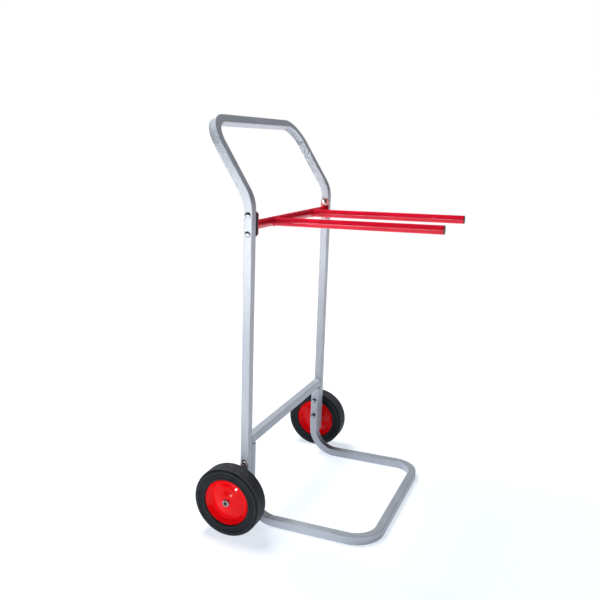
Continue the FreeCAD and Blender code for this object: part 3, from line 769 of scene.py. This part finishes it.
def weldBead(name, path, radius, closed, slot):
    # a row of overlapping puddles along a path
    work = bmesh.new()
    count = len(path)
    rings = []
    travelled = 0.0
    for i, spot in enumerate(path):
        ahead = path[(i + 1) % count] if closed or i < count - 1 else spot
        behind = path[i - 1] if closed or i > 0 else spot
        heading = (ahead - behind).normalized()
        side = heading.orthogonal().normalized()
        if rings:
            side = (lastSide - heading * lastSide.dot(heading)).normalized()
            travelled += (spot - path[i - 1]).length
        lastSide = side
        other = heading.cross(side)
        ripple = weld["valley"] + weld["ripple"] * abs(math.sin(math.pi * travelled / weld["pitch"]))
        wander = 1 + weld["wander"] * noise.noise(spot * weld["wanderScale"])
        taper = 1.0 if closed else min(1.0, weld["endSize"] + min(i, count - 1 - i) / weld["endSteps"])
        size = radius * ripple * wander * taper
        rings.append([work.verts.new(spot + size * (math.cos(a) * side + math.sin(a) * other))
                      for a in (2 * math.pi * k / weld["steps"] for k in range(weld["steps"]))])
    pairs = list(zip(rings, rings[1:] + rings[:1])) if closed else list(zip(rings, rings[1:]))
    shift = 0
    for number, (here, there) in enumerate(pairs):
        if closed and number == len(pairs) - 1:
            shift = min(range(weld["steps"]), key=lambda s: (here[0].co - there[s].co).length)
        for k in range(weld["steps"]):
            after = (k + 1) % weld["steps"]
            far, near = there[(after + shift) % weld["steps"]], there[(k + shift) % weld["steps"]]
            work.faces.new((here[k], here[after], far, near))
    if not closed:
        for end in (rings[0], rings[-1]):
            work.faces.new(end)
    return addPiece(name, work, "frame", slot, sharp=80)


def makeWelds():
    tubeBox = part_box("fork_cross_tube")
    tubeMiddle = (tubeBox[0] + tubeBox[1]) / 2
    tubeRadius = (tubeBox[1].z - tubeBox[0].z) / 2
    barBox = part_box("lower_crossbar")
    tilt = Matrix.Rotation(math.radians(tube["tilt"]), 3, "X")
    for side, outward in sides.items():
        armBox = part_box(f"fork_arm_{side}")
        armAcross = (armBox[0].x + armBox[1].x) / 2
        armRadius = (armBox[1].x - armBox[0].x) / 2
        saddle = []
        for step in range(weld["saddleSteps"]):
            angle = 2 * math.pi * step / weld["saddleSteps"]
            rise = armRadius * math.sin(angle)
            along = tubeMiddle.y - math.sqrt(tubeRadius**2 - rise**2)
            saddle.append(Vector((armAcross + armRadius * math.cos(angle), along, tubeMiddle.z + rise)))
        weldBead(f"weld_arm_{side}", saddle, weld["radius"], True, "red_paint")
        end = tubeBox[1 if outward > 0 else 0].x
        collar = [Vector((end - outward * weld["collarIn"], tubeMiddle.y + tubeRadius * math.cos(a),
                          tubeMiddle.z + tubeRadius * math.sin(a)))
                  for a in (2 * math.pi * s / weld["collarSteps"] for s in range(weld["collarSteps"]))]
        weldBead(f"weld_plate_{side}", collar, weld["radius"], True, "red_paint")
        joint = barBox[1 if outward > 0 else 0].x - outward * weld["barIn"]
        loop = []
        for point in squareSection(weld["barInset"]):
            loop.append(Vector((joint, barMiddle.y, barMiddle.z)) + tilt @ Vector((0, point.x, point.y)))
        fine = []
        for here, there in zip(loop, loop[1:] + loop[:1]):
            fine += [here, here.lerp(there, 0.5)]
        weldBead(f"weld_crossbar_{side}", fine, weld["radius"] * weld["crossbarSize"], True, "silver_paint")
        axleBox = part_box(f"axle_{side}")
        axleMiddle = (axleBox[0] + axleBox[1]) / 2
        root = (axleBox[0] if outward > 0 else axleBox[1]).x
        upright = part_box("main_frame")[1].x * outward
        for level, word in ((1, "top"), (-1, "under")):
            height = axleMiddle.z + level * weld["seamLevel"]
            back = uprightLine(height) + half + weld["seamOut"]
            seam = [Vector((root + (upright - root) * s / weld["seamSteps"], back, height))
                    for s in range(weld["seamSteps"] + 1)]
            weldBead(f"weld_axle_{word}_{side}", seam, weld["radius"], False, "silver_paint")


makeWelds()
print("welds laid")


# ---- CAD nodes that stay, in their own finishes

slotOf = {part["node"]: part["material_slot"] for part in frame["record"]["subparts"]}
for name, node in frame["nodes"].items():
    node.data.materials.clear()
    node.data.materials.append(finishes[slotOf[name]])
frame["nodes"]["lower_crossbar"].data.materials[0] = crossbarPaint


# ---- floor, light and camera

# floor glow: dimmer and bluish within nearRadius, rising to white by farRadius; painted light on the floor
studio = {"floor": 30.0, "room": 0.04, "near": (0.66, 0.70, 0.76), "nearRadius": 0.4, "farRadius": 2.4,
          "shade": (0.44, 0.45, 0.47), "base": (0.46, 0.47, 0.49)}


def makeFloor():
    work = bmesh.new()
    bmesh.ops.create_grid(work, x_segments=1, y_segments=1, size=studio["floor"])
    mesh = bpy.data.meshes.new("floor")
    work.to_mesh(mesh)
    work.free()
    finish = Finish("white_floor")
    place = finish.place()
    away = finish.node("VectorMath", {"operation": "LENGTH"}, {0: place}, output=1)
    colour = finish.blend(finish.noise(place, 30.0), studio["shade"], studio["base"])
    # painted light: the floor glows dim and bluish near the object so its shadows show bluish, and white
    # farther out where the lamps fall off
    floorPaintedGlow = finish.blend(away.between(studio["nearRadius"], studio["farRadius"]), studio["near"], (1, 1, 1))
    mesh.materials.append(finish.finished({
        "Base Color": colour, "Roughness": 0.9, "Specular IOR Level": 0.0, "Emission Color": floorPaintedGlow,
        "Emission Strength": 1.0}))
    floor = bpy.data.objects.new("floor", mesh)
    bpy.context.collection.objects.link(floor)


def makeWorld():
    # dim room for the light; the camera sees plain white
    finish = Finish("studio", bpy.data.worlds)
    bpy.context.scene.world = finish.owner
    around = finish.node("Background", None, {"Color": (1, 1, 1, 1), "Strength": studio["room"]})
    behind = finish.node("Background", None, {"Color": (1, 1, 1, 1), "Strength": 1.0})
    seen = finish.node("LightPath", output="Is Camera Ray")
    mixed = finish.node("MixShader", None, {0: seen, 1: around, 2: behind})
    finish.node("OutputWorld", None, {"Surface": mixed})


# the fills only light surfaces; the others also show as highlights; spread is a cone in degrees
lamps = {
    "side_fill": {"at": (-1.05, 0.30, 0.58), "to": (-0.3, 0.18, 0.60), "size": (0.4, 0.4), "watts": 1.2,
                  "glossy": False},
    "overhead_fill": {"at": (0.35, 1.15, 2.9), "to": (0, 0.0, 0.3), "size": (1.0, 1.0), "watts": 92,
                      "glossy": False},
    "low_softbox": {"at": (-1.9, 0.86, 0.64), "to": (-0.34, 0.17, 0.80), "size": (0.8, 0.36), "watts": 0.62,
                    "glossy": True, "spread": 30},
    "wheel_fill": {"at": (-1.5, 0.5, 0.25), "to": (-0.36, 0.18, 0.12), "size": (0.3, 0.3), "watts": 0.27,
                   "glossy": False, "spread": 50},
    "small_lamp": {"at": (-3.3, 0.45, 0.26), "to": (-0.3, 0.2, 0.2), "size": (0.14, 0.14), "watts": 13,
                   "glossy": True},
}


def makeLamps():
    for name, lamp in lamps.items():
        light = bpy.data.lights.new(name, "AREA")
        light.shape = "RECTANGLE"
        light.size, light.size_y = lamp["size"]
        light.energy = lamp["watts"]
        light.spread = math.radians(lamp.get("spread", 180))
        piece = bpy.data.objects.new(name, light)
        piece.location = lamp["at"]
        aim = Vector(lamp["to"]) - Vector(lamp["at"])
        piece.rotation_euler = aim.to_track_quat("-Z", "Y").to_euler()
        piece.visible_camera = False
        piece.visible_glossy = lamp["glossy"]
        bpy.context.collection.objects.link(piece)


view = {"at": (-1.8875, -0.649, 1.0629), "yaw": 67.21, "down": 12.45, "roll": 0.41, "lens": 41.35}


def makeCamera():
    yaw, down, roll = (math.radians(view[key]) for key in ("yaw", "down", "roll"))
    ahead = Vector((math.sin(yaw) * math.cos(down), math.cos(yaw) * math.cos(down), -math.sin(down)))
    level = Vector((math.cos(yaw), -math.sin(yaw), 0))
    upward = level.cross(ahead)
    right = math.cos(roll) * level + math.sin(roll) * upward
    top = math.cos(roll) * upward - math.sin(roll) * level
    camera = bpy.data.objects.new("camera", bpy.data.cameras.new("camera"))
    camera.data.lens = view["lens"]
    camera.data.sensor_width = 36.0
    turn = Matrix((right, top, -ahead)).transposed().to_4x4()
    camera.matrix_world = Matrix.Translation(view["at"]) @ turn
    bpy.context.collection.objects.link(camera)
    bpy.context.scene.camera = camera


makeFloor()
makeWorld()
makeLamps()
makeCamera()
bpy.context.scene.view_settings.view_transform = "Standard"
print("studio lit")
